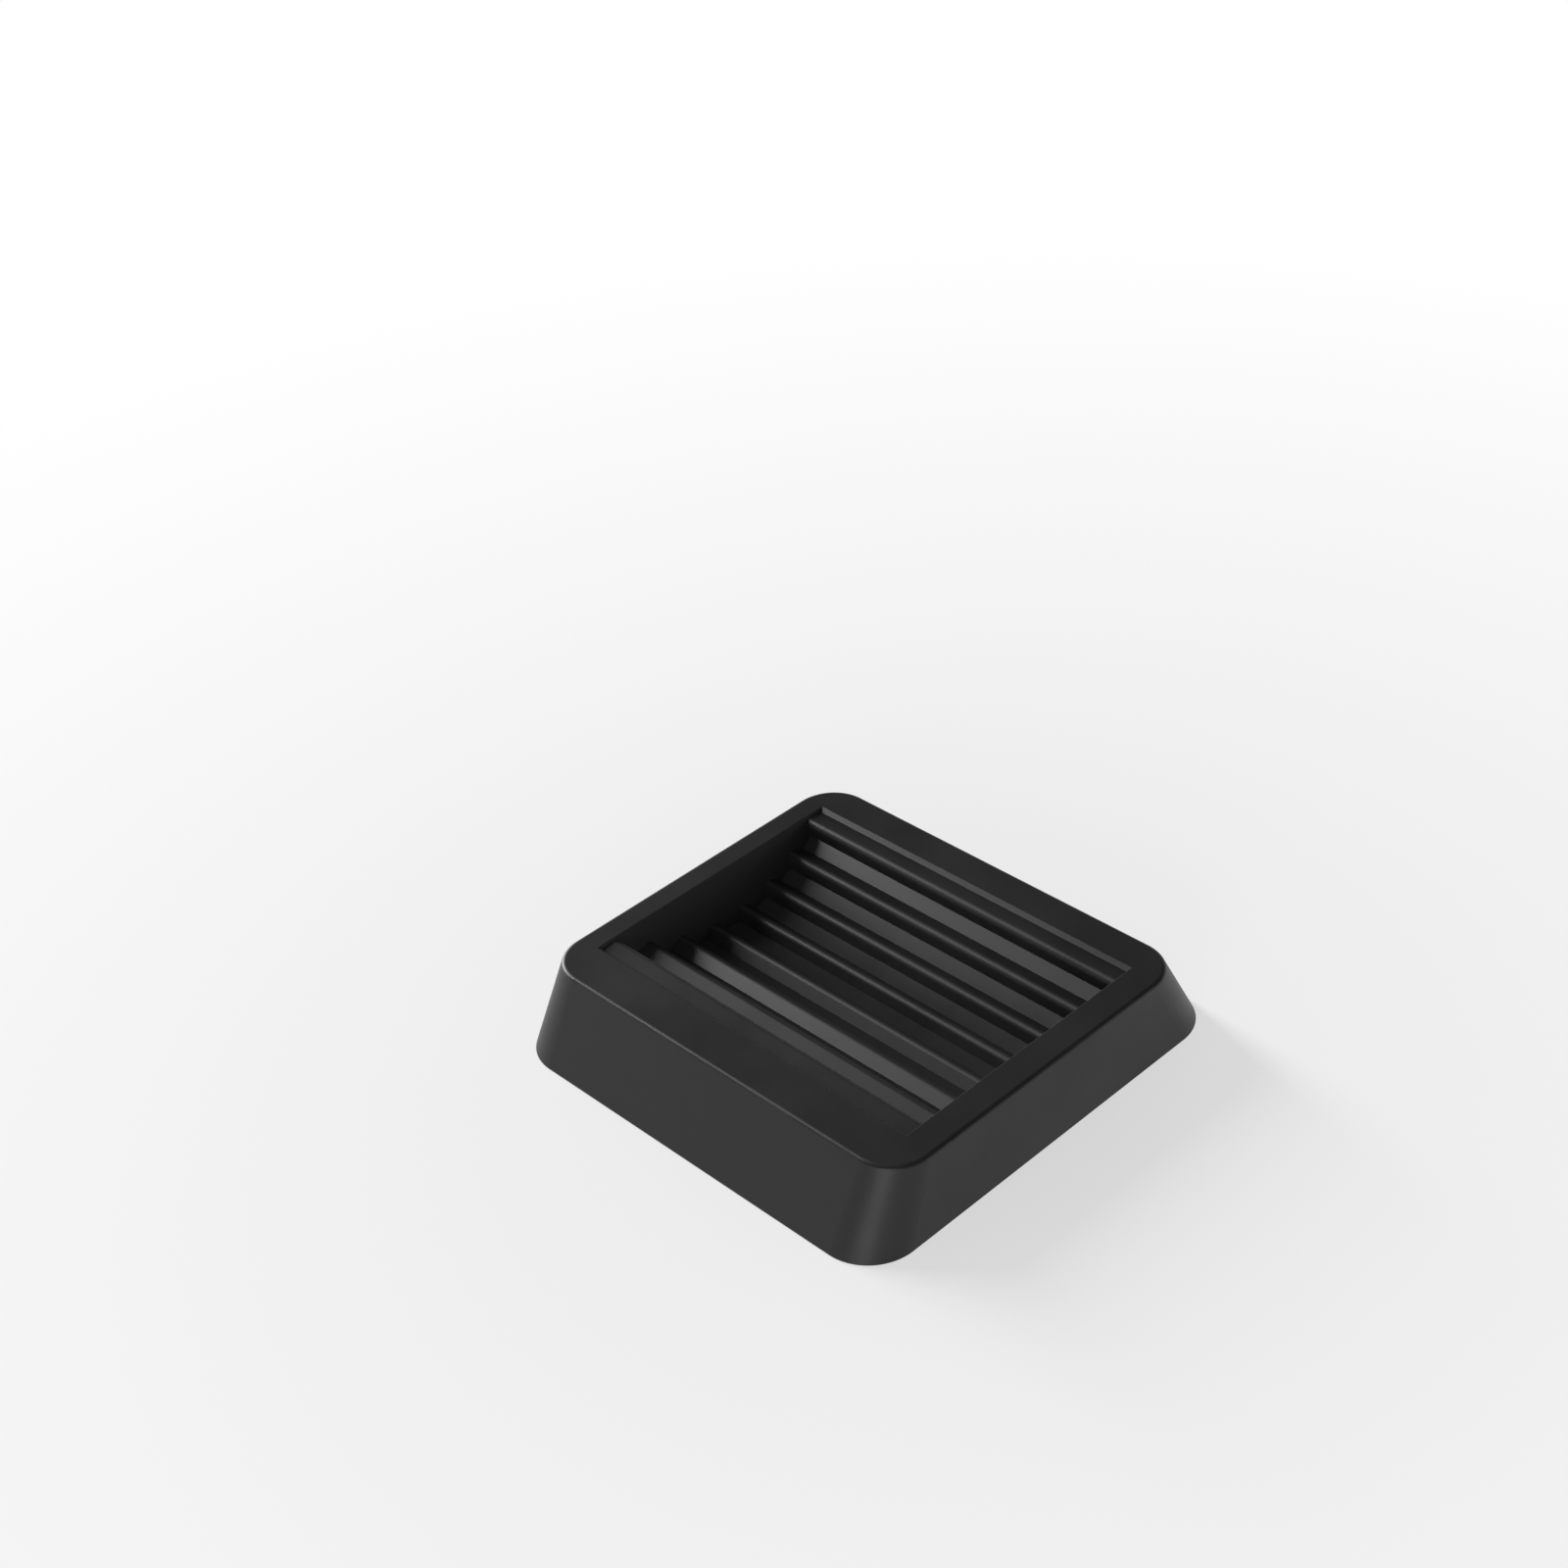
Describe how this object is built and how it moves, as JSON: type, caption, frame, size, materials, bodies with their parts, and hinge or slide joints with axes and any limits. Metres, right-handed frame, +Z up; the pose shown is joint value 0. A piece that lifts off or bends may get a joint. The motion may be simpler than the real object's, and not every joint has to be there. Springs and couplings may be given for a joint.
{
  "type": "castor cup",
  "caption": "Low square rubber castor cup with leaning sides and a concave trough lined with straight rounded ribs that stops a furniture wheel from rolling.",
  "frame": {"origin": "middle of the flat underside, on the floor", "axes": "+Z up out of the trough, X along the ribs, Y across the ribs, the way the wheel would roll"},
  "size_m": [0.076, 0.0758, 0.0133],
  "materials": {
    "black_rubber": "satin moulded rubber"
  },
  "bodies": {
    "root": {"castor_cup": "black_rubber"}
  },
  "joints": []
}
